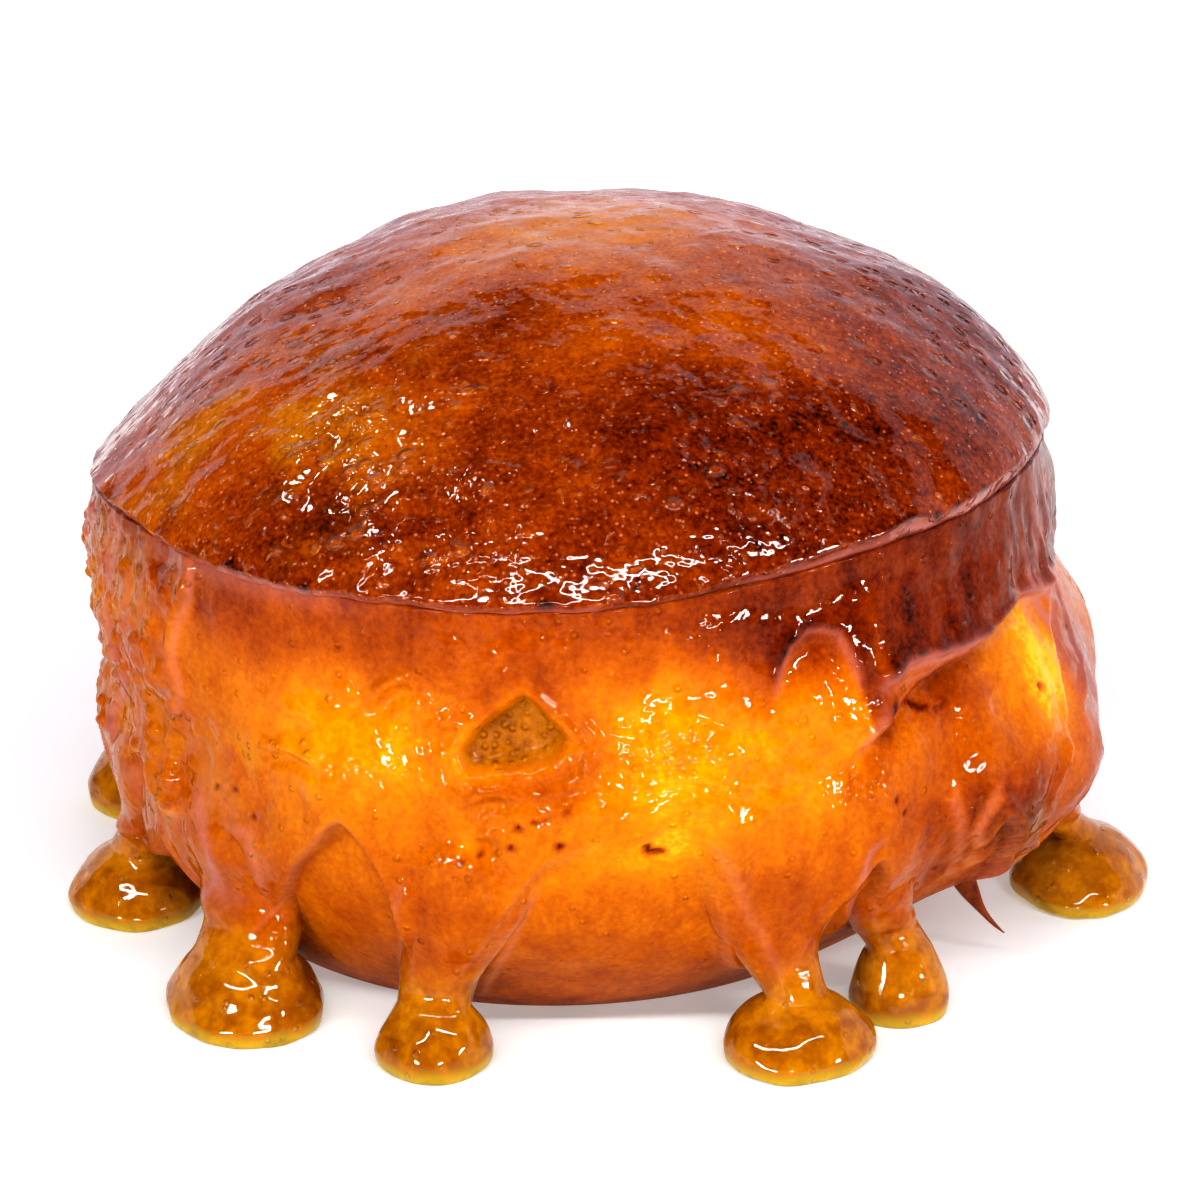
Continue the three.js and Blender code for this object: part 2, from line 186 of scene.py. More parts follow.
# Small bubbles: how many, seed, span of azimuths, of heights and of radii, and how proud they are.
# The first lot is in the left crust, and the second is all round.
BUBBLES = [(330, 3, (-112, -50), (17, 38), (0.45, 1.0), 0.35),
           (160, 4, (-180, 180), (7, 36), (0.6, 1.0), 0.2)]

# ---- mesh fineness ----

SIDE_COLUMNS, SIDE_ROWS = 600, 158
CAP_COLUMNS, CAP_ROWS = 600, 150
FINER_IN_FRONT = 0.32               # how much closer together the columns stand in front
RUN_COLUMNS, RUN_ROWS = 72, 96
FIRST_RUN_SEED = 100


# ---- helpers on arrays ----

def smoothstep(low, high, x):
    t = np.clip((x - low) / (high - low), 0, 1)
    return t * t * (3 - 2 * t)


def bell(x, width):
    return np.exp(-((x / width) ** 2))


def turn(azimuth):
    return azimuth - 360 * np.round(azimuth / 360)


def lerp(a, b, t):
    return a + (b - a) * t


def wall_patch(azimuth, height, middle, level, wide, tall):
    """1 in the middle of a round patch on the wall, fading outwards."""
    return bell(np.hypot(turn(azimuth - middle) / wide, (height - level) / tall), 1.0)


def cap_patch(place, right, back, reach):
    """1 in the middle of a round patch on the cap, fading outwards."""
    return bell(np.hypot(place[..., 0] - right, place[..., 1] - back), reach)


def at(azimuth, radius, height, shift=0.0, back=0.0):
    a = np.radians(azimuth)
    height = height + 0 * a
    return np.stack([shift + radius * np.sin(a), back - radius * np.cos(a), height], axis=-1)


class Swells:
    """Smooth noise in space, about -1 to 1, the same on every run for the same seed."""

    GAIN = 1.6                      # brings the noise to about -1 to 1

    def __init__(self, seed):
        draw = np.random.default_rng(seed)
        self.order = np.tile(draw.permutation(256), 2)
        slopes = draw.normal(size=(256, 3))
        self.slopes = slopes / np.linalg.norm(slopes, axis=1)[:, None]

    def __call__(self, points, size):
        p = points / np.asarray(size, float)
        cell = np.floor(p).astype(int)
        part = p - cell
        fade = part ** 3 * (part * (part * 6 - 15) + 10)
        total = np.zeros(points.shape[:-1])
        for corner in np.ndindex(2, 2, 2):
            c = (cell + corner) % 256
            pick = self.order[self.order[self.order[c[..., 0]] + c[..., 1]] + c[..., 2]]
            reach = (self.slopes[pick] * (part - corner)).sum(axis=-1)
            share = np.prod(np.where(np.array(corner) == 1, fade, 1 - fade), axis=-1)
            total += reach * share
        return total * self.GAIN


swells = Swells(7)
ripples = Swells(23)
streaks = Swells(41)


# ---- the doughnut's form ----

def rim_height(azimuth):
    a = np.radians(azimuth)
    wave = 0.8 * np.cos(2 * a) + np.cos(3 * a) - 0.5 * np.sin(2 * a)
    return RIM_HEIGHT + RIM_RISE_RIGHT * np.sin(a) - RIM_FALL_FRONT * np.cos(a) - RIM_WAVE * wave


def side_radius(height):
    tuck = np.maximum(0, 1 - height / BELT_HEIGHT) ** 2.2
    draw_in = smoothstep(BELT_HEIGHT, RIM_SHOULDER, height)
    return BELT_RADIUS - (BELT_RADIUS - BASE_RADIUS) * tuck - (BELT_RADIUS - RIM_RADIUS) * draw_in


def side_shift(height):
    low = BASE_SHIFT * np.maximum(0, 1 - height / BELT_HEIGHT) ** 1.5
    return low + RIM_SHIFT * smoothstep(BELT_HEIGHT, RIM_SHOULDER, height)


def side_back(height):
    return RIM_SHIFT_BACK * np.clip(height / RIM_HEIGHT, 0, 1)


def curtain_edge(azimuth):
    drop = np.max([depth * bell(turn(azimuth - fold), width)
                   for fold, width, depth in CURTAIN_FOLDS], axis=0)
    return np.maximum(CURTAIN_LOW, CURTAIN_EDGE - drop)


def curtain(azimuth, height, rough):
    edge = curtain_edge(azimuth) + EDGE_WANDER * rough
    soft = bell(turn(azimuth - SOFT_EDGE_MIDDLE), SOFT_EDGE_REACH)
    half = 0.45 + 3.5 * soft
    hangs = smoothstep(edge - half, edge + half, height)
    thins = lerp(1, 0.35, smoothstep(edge + 2, edge + 14, height))
    bead = 0.3 * (1 - soft) * bell(height - edge - 0.9, 0.7)
    return CURTAIN_THICKNESS * hangs * thins + bead


def skirt(azimuth, height):
    thick = SKIRT_THICKNESS * bell(turn(azimuth - SKIRT_MIDDLE), SKIRT_REACH)
    return thick * smoothstep(5.5, 9, height) * (1 - smoothstep(16, 29, height))


def trace(line, azimuth, height, closed=False):
    """How far each place on the wall is from a line, and a taper at the line's ends.

    The distance is positive to the right of an open line, and outside a closed one.
    """
    line = np.array(line + line[:1] if closed else line, float)
    line[:, 0] = np.degrees(np.unwrap(np.radians(line[:, 0])))
    middle = line[:, 0].mean()
    x = (middle + turn(azimuth - middle)) * WALL_MM
    nearest, clearest = np.full(height.shape, 1e9), np.zeros(height.shape)
    side, along = np.ones(height.shape), np.zeros(height.shape)
    inside = np.zeros(height.shape, bool)
    walked = 0.0
    for (start_azimuth, start_height), (end_azimuth, end_height) in zip(line[:-1], line[1:]):
        step_x, step_y = (end_azimuth - start_azimuth) * WALL_MM, end_height - start_height
        length = math.hypot(step_x, step_y)
        off_x, off_y = x - start_azimuth * WALL_MM, height - start_height
        share = np.clip((off_x * step_x + off_y * step_y) / length ** 2, 0, 1)
        distance = np.hypot(off_x - share * step_x, off_y - share * step_y)
        square_off = (step_y * off_x - step_x * off_y) / length
        level = np.abs(distance - nearest) < 1e-9
        closer = (distance < nearest - 1e-9) | (level & (np.abs(square_off) > clearest))
        side = np.where(closer, np.sign(square_off), side)
        clearest = np.where(closer, np.abs(square_off), clearest)
        along = np.where(closer, walked + share * length, along)
        nearest = np.minimum(nearest, distance)
        if closed and step_y != 0:
            inside ^= ((off_y < 0) != (off_y < step_y)) & (off_x < off_y * step_x / step_y)
        walked += length
    if closed:
        return np.where(inside, -nearest, nearest), 1.0
    return side * nearest, smoothstep(0, 2.5, along) * smoothstep(0, 2.5, walked - along)


def sheets(azimuth, height, rough):
    """Relief, painted highlight and painted pink sheen of the sheets' edges."""
    relief, painted_highlight_and_shade, cloudy = np.zeros((3, *height.shape))
    for line, proud, highlight, cloud, wide in SHEET_EDGES.values():
        past, taper = trace(line, azimuth, height)
        past = past + 0.35 * rough
        step = smoothstep(-0.9, 0.5, past) * (1 - smoothstep(3, 8, np.abs(past)))
        relief += taper * (proud * step + 0.5 * proud * bell(past - 0.5, 0.6))
        painted_highlight_and_shade = np.maximum(painted_highlight_and_shade, taper * highlight * bell(past + 0.1, 0.4))
        cloudy = np.maximum(cloudy, taper * cloud * bell(past + 0.1, wide))
    return relief, painted_highlight_and_shade, cloudy


def pocket(azimuth, height, rough):
    """Relief of the pocket, and how far outside it a place is, less than 0 within."""
    inside, _ = trace(POCKET, azimuth, height, closed=True)
    outward = inside + 0.2 * rough
    waves = 0.2 * bell(outward - 1.9, 0.5) + 0.16 * bell(outward - 3.3, 0.6)
    lip = POCKET_LIP * bell(outward - 0.55, 0.5)
    return lip + waves - POCKET_DEPTH * (1 - smoothstep(-0.75, 0.1, outward)), outward


def crease_ledge(azimuth, height, rough):
    along = (azimuth - CREASE_FROM) / (CREASE_TO - CREASE_FROM)
    line = lerp(CREASE_LOW, CREASE_HIGH, np.clip(along, 0, 1) ** 0.6) + 0.5 * rough
    ends = smoothstep(-0.15, 0.15, along) * (1 - smoothstep(0.75, 1.1, along))
    ledge = 0.9 * smoothstep(line - 0.5, line + 1.2, height)
    ledge *= 1 - smoothstep(line + 2, line + 8, height)
    return ends * (ledge - 0.8 * bell(height - line + 0.3, 1.0))


def left_crust(azimuth, height):
    round_left = bell(turn(azimuth - LEFT_MIDDLE), 26)
    return LEFT_CRUST * round_left * smoothstep(23.8, 25.2, height) * (1 - smoothstep(32, 38, height))


def lumps(azimuth, height):
    a = np.radians(azimuth)
    return (0.25 * np.sin(5 * a + height * 0.21) + 0.2 * np.sin(9 * a - height * 0.33 + 1)
            + 0.15 * np.sin(3 * a + height * 0.55 + 2))


def side_form(azimuth, height):
    """Outward relief that the runs need to know too, without the finest of it."""
    grounded = smoothstep(0, 4, height)
    rough = ripples(at(azimuth, BELT_RADIUS, height), 5.0)
    return (curtain(azimuth, height, rough) + skirt(azimuth, height)
            + crease_ledge(azimuth, height, rough) + left_crust(azimuth, height)
            + grounded * lumps(azimuth, height))


def side_point(azimuth, height, proud=0.0):
    radius = side_radius(height) + side_form(azimuth, height) + proud
    return at(azimuth, radius, height, side_shift(height), side_back(height))


def side_detail(azimuth, height):
    """Finer relief of the side, and what its colour is worked out from."""
    place = at(azimuth, BELT_RADIUS, height)
    rough = ripples(place, 5.0)
    grounded = smoothstep(0.5, 5, height)
    edge = curtain_edge(azimuth) + EDGE_WANDER * rough
    coated = smoothstep(edge - 1, edge + 3, height)
    flow = streaks(place, (2.6, 2.6, 12)) * 0.16 + streaks(place, (1.3, 1.3, 6)) * 0.07
    wet = swells(place, 7.0) * 0.28 + swells(place, 3.4) * 0.16 + ripples(place, 1.8) * 0.08
    grain = ripples(place, 0.9) * 0.05 + swells(place, 2.2) * 0.08
    sheet, painted_highlight_and_shade, cloudy = sheets(azimuth, height, rough)
    hollow, outward = pocket(azimuth, height, rough)
    relief = sheet + hollow + grounded * (coated * (flow + wet) + (1 - coated) * grain)
    crack = np.zeros(height.shape)
    for line in RIDGES:
        past, taper = trace(line, azimuth, height)
        relief += 0.55 * taper * bell(past, 0.45)
        relief -= 0.35 * taper * bell(past - 1.1, 0.5)
    for line in CRACKS:
        past, _ = trace(line, azimuth, height)
        broken = smoothstep(-0.25, 0.2, ripples(place, 1.1))
        crack = np.maximum(crack, bell(past + 0.3 * rough, 0.3) * broken)
    for speck_azimuth, speck_height, size in SPECKS:
        away = np.hypot(turn(azimuth - speck_azimuth) * WALL_MM, height - speck_height)
        crack = np.maximum(crack, bell(away, SPECK_SHARE * size))
    relief -= 0.3 * crack
    soft = bell(turn(azimuth - SOFT_EDGE_MIDDLE), SOFT_EDGE_REACH)
    curtain_rim = bell(height - edge - 0.2, 0.45) * smoothstep(6, 9, edge) * (1 - soft)
    tear, _ = trace(TEAR, azimuth, height, closed=True)
    tear = 1 - smoothstep(-0.6, 0.8, tear + 0.6 * rough)
    relief -= 0.45 * tear
    # The curtain's rim gets painted pink sheen and a touch of painted highlight; just below it, painted
    # shade.
    cloudy = np.maximum(cloudy, 0.35 * curtain_rim)
    shaded = bell(height - edge + 0.6, 0.5) * smoothstep(6, 9, edge) * (1 - soft)
    paint = {"painted_highlight_and_shade": painted_highlight_and_shade + 0.05 * curtain_rim - 0.12 * shaded, "cloudy": cloudy, "crack": crack,
             "outward": outward, "tear": tear, "coated": coated}
    return relief, paint


def table(pairs, value):
    """A value read off a list of (place, value) pairs."""
    places, values = zip(*pairs)
    return np.interp(value, places, values)


# How light the caramel is, from 0, burnt, to 1, pale yellow: down the side, and round its belt
LIGHT_BY_HEIGHT = [(0, 0.35), (4, 0.45), (10, 0.55), (17, 0.62), (21, 0.63), (30, 0.57), (33, 0.4),
                   (35, 0.32), (38, 0.26), (42, 0.24)]
LIGHT_ROUND_BELT = [(-180, 0.74), (-110, 0.66), (-80, 0.5), (-55, 0.48), (-44, 0.56), (-32, 0.75),
                    (0, 0.78), (20, 0.75), (35, 0.7), (45, 0.64), (55, 0.74), (63, 0.82), (69, 0.55),
                    (90, 0.62), (130, 0.74), (180, 0.74)]
LIGHT_OF_BAND = 0.17
LIGHT_OF_POCKET = 0.36
LIGHT_BEHIND_SKIRT = 0.4
# Gloss of the bare crust below the curtain, where the curtain's is 1
CRUST_GLOSS = 0.15
# Darker and lighter patches of the side: azimuth, height, half width in degrees, half height, change
SIDE_PATCHES = [(-31, 33, 9, 2.5, -0.1), (-8, 33.5, 12, 2.5, -0.1), (-5, 29, 7, 2.5, -0.12),
                (27, 33, 4, 2.5, -0.24), (43, 28, 7, 3, -0.32), (60, 8, 4, 3, 0.3),
                (42, 23, 6, 2.5, -0.12), (61, 25.5, 4.5, 5, 0.3), (74, 24, 6, 7, -0.2),
                (-5, 24.5, 7, 3, -0.16), (10, 26, 7, 4, 0.12), (49, 19, 7, 3.5, -0.22),
                (40, 18, 6, 3, -0.22), (51, 15, 8, 3, -0.2), (4, 18.5, 9, 3, 0.14),
                (58, 9, 8, 4, -0.2), (44, 13, 6, 3, -0.15), (32, 20, 5, 2.5, -0.14),
                (-35, 7, 6, 4, 0.1), (2, 28.5, 5, 2.5, -0.08), (-20, 26, 8, 3, 0.06),
                (-31, 27, 6, 3, 0.06), (120, 26, 12, 5, 0.1), (-150, 27, 14, 5, 0.1),
                (165, 20, 9, 5, -0.14), (95, 22, 8, 5, -0.12), (-118, 30, 10, 4, -0.12)]
# Height and reach of the belt's lighter band: partly its paler caramel, partly painted glow of light
# shining through it.
BELT_GLOW_HEIGHT, BELT_GLOW_REACH = 26.5, 6.5
# Glittering patches of the side: azimuth, height, half width in degrees, half height
CRINKLED_PATCHES = [(-17, 31, 4, 2.4), (9, 26.5, 6.5, 2.6), (9, 35, 6, 1.8), (-10, 21.5, 4, 2.2),
                    (28, 21.8, 4, 1.6), (-26, 23, 4, 2), (38, 27, 3.5, 1.6), (33, 26, 2, 2.5),
                    (-80, 28, 20, 8), (-1, 27, 2, 3), (-21, 24, 4, 1.4), (120, 27, 9, 3),
                    (-145, 26, 9, 4), (170, 28, 8, 3), (-36, 18, 5, 2)]


def side_light(azimuth, height, paint):
    place = at(azimuth, BELT_RADIUS, height)
    wander = 2.2 * swells(place, 13.0) + 1.3 * streaks(place, (5, 5, 9)) + 0.7 * ripples(place, 2.5)
    level = height + wander
    light = table(LIGHT_BY_HEIGHT, level)
    # Towards the belt the colour goes lighter: partly paler caramel, partly painted glow.
    glow = bell(level - BELT_GLOW_HEIGHT, BELT_GLOW_REACH)
    light = lerp(light, table(LIGHT_ROUND_BELT, turn(azimuth)), glow)
    below = 1 - smoothstep(16, 24, level)
    light -= 0.1 * below * paint["coated"]
    band, _ = trace(SHEET_EDGES["dark band"][0], azimuth, height)
    arch, _ = trace(SHEET_EDGES["arch"][0], azimuth, height)
    above_band = smoothstep(-0.4, 0.5, band) * smoothstep(33, 35, azimuth)
    above_band *= 1 - smoothstep(80, 125, azimuth)
    above_arch = smoothstep(-0.4, 0.4, arch) * smoothstep(6, 24, azimuth)
    above_arch *= 1 - smoothstep(33, 36, azimuth)
    above_arch *= smoothstep(27, 35, height + (azimuth - 20) * 0.3)
    dark = np.maximum(above_band, 0.9 * above_arch)
    light = lerp(light, LIGHT_OF_BAND, dark)
    behind_skirt = smoothstep(62, 66, azimuth) * (1 - smoothstep(74, 86, azimuth))
    behind_skirt *= 1 - smoothstep(27, 31, height)
    light = lerp(light, LIGHT_BEHIND_SKIRT, 0.7 * behind_skirt * smoothstep(8, 12, height))
    for *patch, change in SIDE_PATCHES:
        light += change * wall_patch(azimuth, height, *patch)
    outward = paint["outward"]
    light += 0.06 * bell(outward - 0.25, 0.25) - 0.1 * bell(outward - 1.6, 1.3)
    light = lerp(light, LIGHT_OF_POCKET, 1 - smoothstep(-0.6, 0, outward))
    # Beside the crease the caramel is painted darker: painted shade under its fold.
    crease, _ = trace(SHEET_EDGES["crease"][0], azimuth, height)
    # Painted highlight and painted shade along the sheets' edges.
    light += 0.12 * paint["tear"] + paint["painted_highlight_and_shade"] - 0.12 * bell(crease - 1.5, 1.5)
    return np.clip(light * (1 - 0.95 * paint["crack"]), 0, 1)


def side_gold(azimuth, height, paint):
    """Where the caramel is full of fine bubbles, and looks olive gold."""
    place = at(azimuth, BELT_RADIUS, height)
    clumps = smoothstep(-0.25, 0.35, swells(place, 4.5) + 0.4 * ripples(place, 1.6))
    left = bell(turn(azimuth - LEFT_MIDDLE), 32) * smoothstep(9, 16, height)
    left *= 1 - smoothstep(36, 39, height)
    low_left = bell(turn(azimuth + 38), 9) * bell(height - 21.5, 4)
    brown = bell(turn(azimuth - 50), 8) * bell(height - 15, 5)
    gold = clumps * np.maximum(0.75 * left, np.maximum(0.9 * low_left, 0.5 * brown))
    in_pocket = 1 - smoothstep(-0.5, 0.1, paint["outward"])
    return np.clip(np.maximum(gold, np.maximum(in_pocket, 0.15 * paint["tear"])), 0, 1)


def side_painted_sheen(azimuth, height, paint):
    """Where the caramel is painted pale pink: painted sheen, standing in for lilac reflected light."""
    place = at(azimuth, BELT_RADIUS, height)
    wisps = smoothstep(0.0, 0.5, streaks(place, (2.2, 2.2, 8)) + 0.3 * ripples(place, 1.5))
    left = bell(turn(azimuth - LEFT_MIDDLE), 24) * smoothstep(5, 20, height) * 0.75
    low_left = bell(turn(azimuth + 46), 6) * bell(height - 12, 6) * 0.8
    right = bell(turn(azimuth - 70), 6) * bell(height - 20, 9) * 0.7
    right_high = bell(turn(azimuth - 70), 10) * bell(height - 37, 4) * 0.5
    behind = bell(turn(azimuth - 75), 9) * bell(height - 21, 11) * 0.8
    below_rim = bell(rim_height(azimuth) - height - 0.6, 1.0) * smoothstep(-62, -45, azimuth)
    below_rim *= 0.4 * (1 - smoothstep(-34, -16, azimuth))
    sheen_haze = np.max([left, low_left, right, right_high], axis=0)
    threads = smoothstep(0.15, 0.4, streaks(place, (1.2, 1.2, 7)) + 0.15 * ripples(place, 1.5))
    threads = threads * bell(turn(azimuth - 67), 6) * bell(height - 30, 8)
    return np.clip(np.max([paint["cloudy"], wisps * sheen_haze, threads, behind, below_rim], axis=0), 0, 1)


def side_crinkled(azimuth, height):
    """Where the coat is finely crinkled, and glitters."""
    crinkled = np.full(height.shape, 0.12)
    for patch in CRINKLED_PATCHES:
        crinkled += wall_patch(azimuth, height, *patch)
    return np.clip(crinkled, 0, 1)


def side_paint(azimuth, height, notes):
    """What the side's colour and gloss are worked out from, for each point."""
    return {"light": side_light(azimuth, height, notes), "gold": side_gold(azimuth, height, notes),
            "cloud": side_painted_sheen(azimuth, height, notes), "gloss": lerp(CRUST_GLOSS, 1.0, notes["coated"]),
            "crinkled": side_crinkled(azimuth, height)}


# ---- bubbles, set on a grid of points ----

def bubbles_on(azimuths, heights, count, seed, azimuth_span, height_span, radius_span, rise):
    """Relief of round bubbles on a grid of azimuth columns and height rows."""
    draw = np.random.default_rng(seed)
    relief = np.zeros(azimuths.shape)
    for _ in range(count):
        middle = draw.uniform(*azimuth_span)
        level = draw.uniform(*height_span)
        radius = draw.uniform(*radius_span)
        across = np.radians(turn(azimuths - middle)) * BELT_RADIUS
        away = np.hypot(across, heights - level) / radius
        relief += rise * radius * np.clip(1 - away ** 2, 0, 1)
    return relief


# ---- meshes ----

def add_object(name, data):
    made = bpy.data.objects.new(name, data)
    bpy.context.scene.collection.objects.link(made)
    return made


def skin(name, rings, lowest, highest, paint):
    """A closed piece over a stack of rings, shut by a point below and one above.

    paint holds a value for each point of the rings, by the name that the material reads it by.
    """
    rows, columns, _ = rings.shape
    points = np.concatenate([[lowest], rings.reshape(-1, 3), [highest]]) * MM
    first = 1 + np.arange(columns)
    after = 1 + (np.arange(columns) + 1) % columns
    low = np.stack([np.zeros(columns, int), after, first], axis=1)
    last = (rows - 1) * columns
    high = np.stack([np.full(columns, len(points) - 1), first + last, after + last], axis=1)
    steps = (np.arange(rows - 1) * columns)[:, None]
    near, far = first + steps, after + steps
    cells = np.stack([near, far, far + columns, near + columns], axis=-1)
    faces = low.tolist() + high.tolist() + cells.reshape(-1, 4).tolist()
    mesh = bpy.data.meshes.new(name)
    mesh.from_pydata(points.tolist(), [], faces)
    for key, values in paint.items():
        values = np.concatenate([values[0, :1], values.ravel(), values[-1, :1]])
        mesh.attributes.new(key, "FLOAT", "POINT").data.foreach_set("value", values.astype(np.float32))
    mesh.shade_smooth()
    return add_object(name, mesh)


def finish_piece(piece, material):
    piece.data.materials.append(material)
    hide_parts(SOLID)
    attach(piece, "root")


def columns_of(count, finer=0.0):
    """Azimuths all round, closer together in front."""
    even = np.linspace(-180, 180, count, endpoint=False)
    return even - np.degrees(finer * np.sin(np.radians(even)))


def stretched(values, before, after):
    """The same values with the first and last rows repeated."""
    return np.concatenate([values[:1]] * before + [values] + [values[-1:]] * after)


def make_side(material):
    azimuth = columns_of(SIDE_COLUMNS, FINER_IN_FRONT)[None, :]
    share = np.linspace(0, 1, SIDE_ROWS)[:, None]
    rim = rim_height(azimuth)
    height = share * (rim - 0.1)
    azimuth = azimuth + 0 * height
    detail, notes = side_detail(azimuth, height)
    radius = side_radius(height) + side_form(azimuth, height) + detail
    bevel = table(BEVEL, azimuth)
    tucked = 0.15 * smoothstep(rim - 2.6 - bevel, rim - 1.2, height)
    for lot in BUBBLES:
        radius += bubbles_on(azimuth, height, *lot)
    body = at(azimuth, radius - tucked, height, side_shift(height), side_back(height))
    base = at(azimuth[:1], BASE_RADIUS * 0.5, 0.0, BASE_SHIFT)
    lid = RIM_HEIGHT - 1.0
    inner = at(azimuth[:1], RIM_RADIUS - 6, lid, RIM_SHIFT, RIM_SHIFT_BACK)
    rings = np.concatenate([base, body, inner])
    paint = side_paint(azimuth, height, notes)
    paint = {key: stretched(values, 1, 1) for key, values in paint.items()}
    piece = skin("side", rings, (BASE_SHIFT, 0, 0), (RIM_SHIFT, RIM_SHIFT_BACK, lid), paint)
    finish_piece(piece, material)


def cap_relief(place, climb):
    """Swells, wrinkles and fine ripples of the cap's skin, in millimetres."""
    shoulder = smoothstep(0.0, 20, climb) * (1 - smoothstep(60, 86, climb))
    broad = swells(place, 15.0) * 0.6 + swells(place, 7.0) * 0.3
    fine = ripples(place, 3.2) * 0.16 + ripples(place, 1.6) * 0.07
    left = smoothstep(-4, -26, place[..., 0])
    wrinkles = left * (streaks(place, (9, 3.0, 9)) * 0.2 + ripples(place, (5, 1.5, 5)) * 0.12)
    return broad * smoothstep(0, 12, climb) + fine + wrinkles * shoulder


# How light the cap is by the distance from its top, then its patches: right, back, reach, change
CAP_LIGHT = [(0, 0.72), (6, 0.64), (12, 0.47), (18, 0.35), (24, 0.29), (32, 0.26), (46, 0.24)]
CAP_PATCHES = [(-29, -21, 9, 0.17), (-14, -28, 5, 0.16), (-22, -25, 6, 0.1), (-37, -18, 6, 0.1),
               (13, -32, 7, -0.13), (6, -30, 5, -0.08), (2, -31, 3, -0.09), (21, -33, 5, -0.1),
               (-24, -31, 6, -0.05), (-19, -34, 4, -0.03), (5, -22, 8, 0.05), (11, -20, 5, 0.1),
               (-1, -22, 2.5, 0.12), (-12, -21, 6, -0.04), (-15, -11, 7, 0.12), (-8, -16, 4, -0.1),
               (8, 30, 9, -0.12), (-20, 24, 10, 0.1), (24, 18, 8, -0.1), (-4, 20, 7, 0.08),
               (-36, 10, 7, -0.1), (28, -6, 12, -0.1), (27, -24, 5, -0.05)]
CAP_DARKEST = 0.13


def cap_light(place):
    """How light the cap's caramel is."""
    light = table(CAP_LIGHT, np.hypot(place[..., 0] + 1, place[..., 1] + 1))
    light += 0.05 * swells(place, 9.0) + 0.06 * streaks(place, 5.0) + 0.05 * ripples(place, 2.4)
    for *patch, change in CAP_PATCHES:
        light += change * cap_patch(place, *patch)
    return np.clip(light, CAP_DARKEST, 1)


def cap_gold(place):
    """Where the cap is full of fine bubbles, and looks golden."""
    patch = 0.75 * cap_patch(place, -23, -25, 9) + 0.6 * cap_patch(place, -32, -18, 6)
    clumps = smoothstep(-0.35, 0.4, swells(place, 5.0) + 0.5 * ripples(place, 1.8))
    top = 0.45 * cap_patch(place, -1, -2, 8)
    return np.clip(clumps * patch + top, 0, 1)


